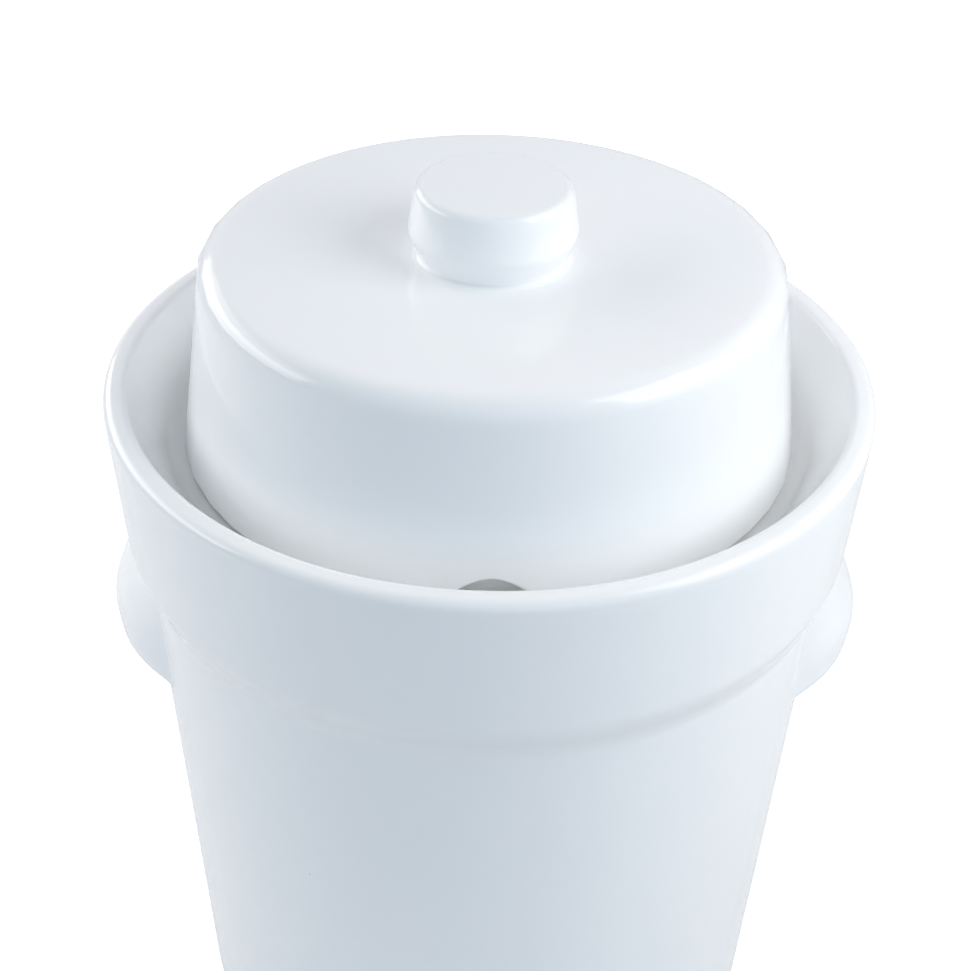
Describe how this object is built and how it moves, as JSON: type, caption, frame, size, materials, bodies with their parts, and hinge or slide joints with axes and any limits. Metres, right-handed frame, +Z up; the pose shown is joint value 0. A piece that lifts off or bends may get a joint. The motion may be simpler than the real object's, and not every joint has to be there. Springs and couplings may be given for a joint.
{
  "type": "fermentation crock",
  "caption": "Tapered white glazed crock with a water gutter round its mouth, a flat knobbed lid that stands in the gutter, ear lugs under the collar and half-round weights inside.",
  "frame": {"origin": "centre of the foot ring, on the table", "axes": "+Z up along the crock's axis, lugs on X, the lid's notches on Y, front towards -Y"},
  "size_m": [0.2364, 0.2236, 0.2951],
  "materials": {
    "white_glaze": "glossy cool white glaze",
    "lid_glaze": "glossy cool white glaze",
    "bare_stoneware": "smooth unglazed fired clay"
  },
  "bodies": {
    "crock": {"tub": "white_glaze", "gutter_ring": "white_glaze", "left_lug": "white_glaze", "right_lug": "white_glaze"},
    "lid": {"lid_cap": "lid_glaze", "lid_knob": "lid_glaze"},
    "left_weight": {"left_weight": "bare_stoneware"},
    "right_weight": {"right_weight": "bare_stoneware"}
  },
  "joints": [
    {"name": "lid_lift", "type": "slide", "parent": "crock", "child": "lid", "axis": [0, 0, 1], "range_m": [0, 0.12]},
    {"name": "left_weight_rise", "type": "slide", "parent": "crock", "child": "left_weight", "axis": [0, 0, 1], "range_m": [0, 0.175]},
    {"name": "right_weight_rise", "type": "slide", "parent": "crock", "child": "right_weight", "axis": [0, 0, 1], "range_m": [0, 0.175]}
  ]
}
